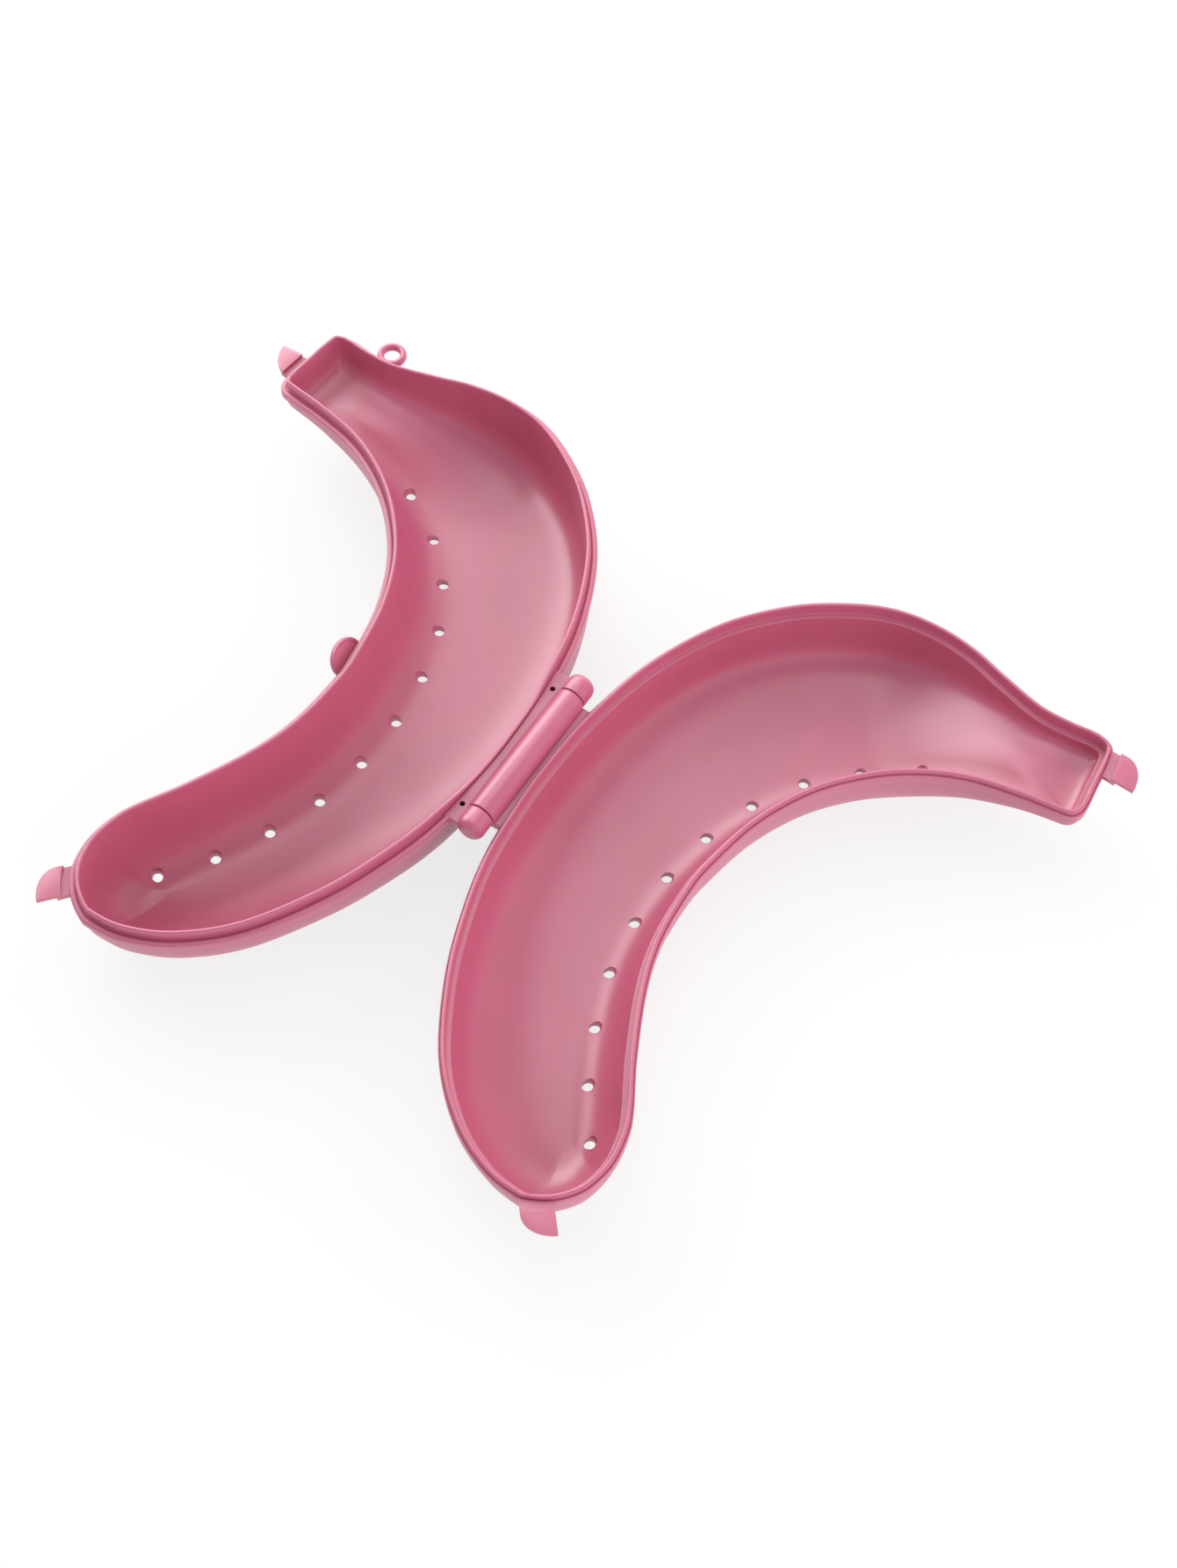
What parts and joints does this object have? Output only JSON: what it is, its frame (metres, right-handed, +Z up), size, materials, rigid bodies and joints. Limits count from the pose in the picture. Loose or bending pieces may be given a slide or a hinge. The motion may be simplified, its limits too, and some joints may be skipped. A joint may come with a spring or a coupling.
{
  "type": "banana carrying case",
  "caption": "Hinged hard-plastic case moulded to a banana's curve: two vented bowl halves with a lapped rim, leaf-shaped clasp tabs, a pinned hinge and a strap ring.",
  "frame": {"origin": "on the table under the middle of the open case, below the hinge axis", "axes": "+X from the hinge axis to the base half, +Y along the hinge axis towards the neck ends, +Z up out of both mouths"},
  "size_m": [0.255, 0.1879, 0.0266],
  "materials": {
    "base_plastic": "glossy moulded rose-pink polypropylene",
    "lid_plastic": "glossy moulded rose-pink polypropylene",
    "pin_steel": "plain drawn wire"
  },
  "bodies": {
    "base": {"base_shell": "base_plastic", "hinge_barrel": "base_plastic", "base_neck_latch": "base_plastic", "base_tip_latch": "base_plastic"},
    "lid": {"lid_shell": "lid_plastic", "hinge_lug_neck": "lid_plastic", "hinge_lug_tip": "lid_plastic", "hinge_pin": "pin_steel", "lid_neck_latch": "lid_plastic", "lid_tip_latch": "lid_plastic", "lid_side_latch": "lid_plastic", "strap_ring": "lid_plastic"}
  },
  "joints": [
    {"name": "lid_hinge", "type": "hinge", "parent": "base", "child": "lid", "pos_m": [0, 0.0052, 0.023], "axis": [0, 1, 0], "range_deg": [0, 180]}
  ]
}
